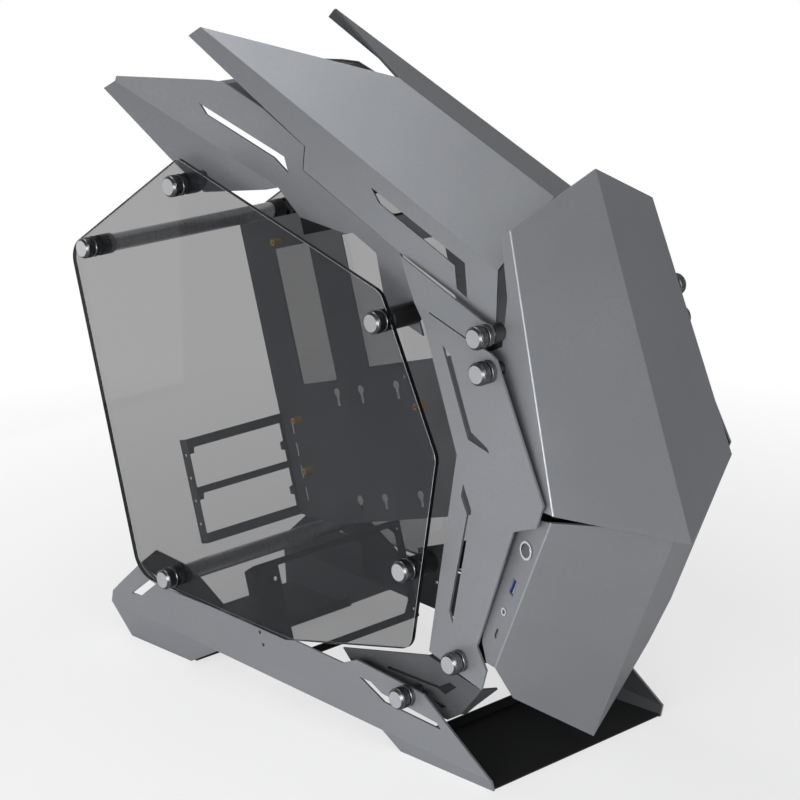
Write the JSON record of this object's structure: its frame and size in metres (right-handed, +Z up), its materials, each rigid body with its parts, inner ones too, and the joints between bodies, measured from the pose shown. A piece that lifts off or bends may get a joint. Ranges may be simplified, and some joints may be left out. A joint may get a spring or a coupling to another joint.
{
  "type": "computer case",
  "caption": "Open-frame computer case with tinted glass sides, folded metal sheets, a slanted body on a low stand and a sprung power button.",
  "frame": {"origin": "middle of the base on the floor, under the centre of the bounding box", "axes": "+X across the case, away from the glass side with the ports; +Y to the back; +Z up"},
  "size_m": [0.244, 0.5888, 0.542],
  "materials": {
    "sheet": "sand-blasted grey anodised",
    "dark_sheet": "sand-blasted dark grey anodised",
    "black_steel": "fine black powder coat",
    "grey_steel": "fine dark grey powder coat",
    "brass": "turned",
    "rod_steel": "turned bright",
    "screw_steel": "satin silver with a turned cap",
    "tinted_glass": "dark tinted, tempered, polished",
    "black_plastic": "matt black",
    "white_plastic": "white",
    "button_metal": "satin grey",
    "port_metal": "bright, with a blue tongue",
    "circuit_board": "solder mask"
  },
  "bodies": {
    "case": {"audio_jack": "white_plastic", "base_pan": "black_steel", "board_standoffs": "brass", "button_housing": "white_plastic", "expansion_frame": "grey_steel", "front_frame": "black_steel", "left_glass": "tinted_glass", "left_glass_screw_front_bottom": "screw_steel", "left_glass_screw_front_top": "screw_steel", "left_glass_screw_rear_bottom": "screw_steel", "left_glass_screw_rear_top": "screw_steel", "left_glass_screw_rear_upper": "screw_steel", "left_glass_spacers": "black_plastic", "left_leg": "sheet", "left_leg_screw": "screw_steel", "left_lower_plate": "dark_sheet", "left_panel_screw_cheek": "screw_steel", "left_panel_screw_lower": "screw_steel", "left_panel_screw_upper": "screw_steel", "left_panel_standoffs": "black_plastic", "left_rear_arm": "black_steel", "left_rear_wing": "sheet", "left_side_panel": "sheet", "lower_front_shell": "sheet", "lower_tie_rod": "rod_steel", "motherboard_tray": "grey_steel", "port_board": "circuit_board", "rear_pan": "black_steel", "right_glass": "tinted_glass", "right_glass_screw_front_bottom": "screw_steel", "right_glass_screw_front_top": "screw_steel", "right_glass_screw_rear_bottom": "screw_steel", "right_glass_screw_rear_top": "screw_steel", "right_glass_screw_rear_upper": "screw_steel", "right_glass_spacers": "black_plastic", "right_leg": "sheet", "right_leg_screw": "screw_steel", "right_lower_plate": "dark_sheet", "right_panel_screw_cheek": "screw_steel", "right_panel_screw_lower": "screw_steel", "right_panel_screw_upper": "screw_steel", "right_panel_standoffs": "black_plastic", "right_rear_arm": "black_steel", "right_rear_wing": "sheet", "right_side_panel": "sheet", "shell_bracket_lower": "black_steel", "shell_bracket_middle": "black_steel", "shell_bracket_upper": "black_steel", "supply_bracket": "black_steel", "upper_front_shell": "sheet", "upper_tie_rod": "rod_steel", "upper_wing": "sheet", "usb_a_port": "port_metal", "usb_c_port": "port_metal", "wing_bridge": "black_steel", "wing_cross_plate": "dark_sheet", "wing_cross_rod": "black_steel"},
    "button": {"power_button": "button_metal"}
  },
  "joints": [
    {"name": "power_button_press", "type": "slide", "parent": "case", "child": "button", "axis": [0.9771, -0.1954, -0.0837], "range_m": [0, 0.001], "stiffness_N_per_m": 1500}
  ]
}
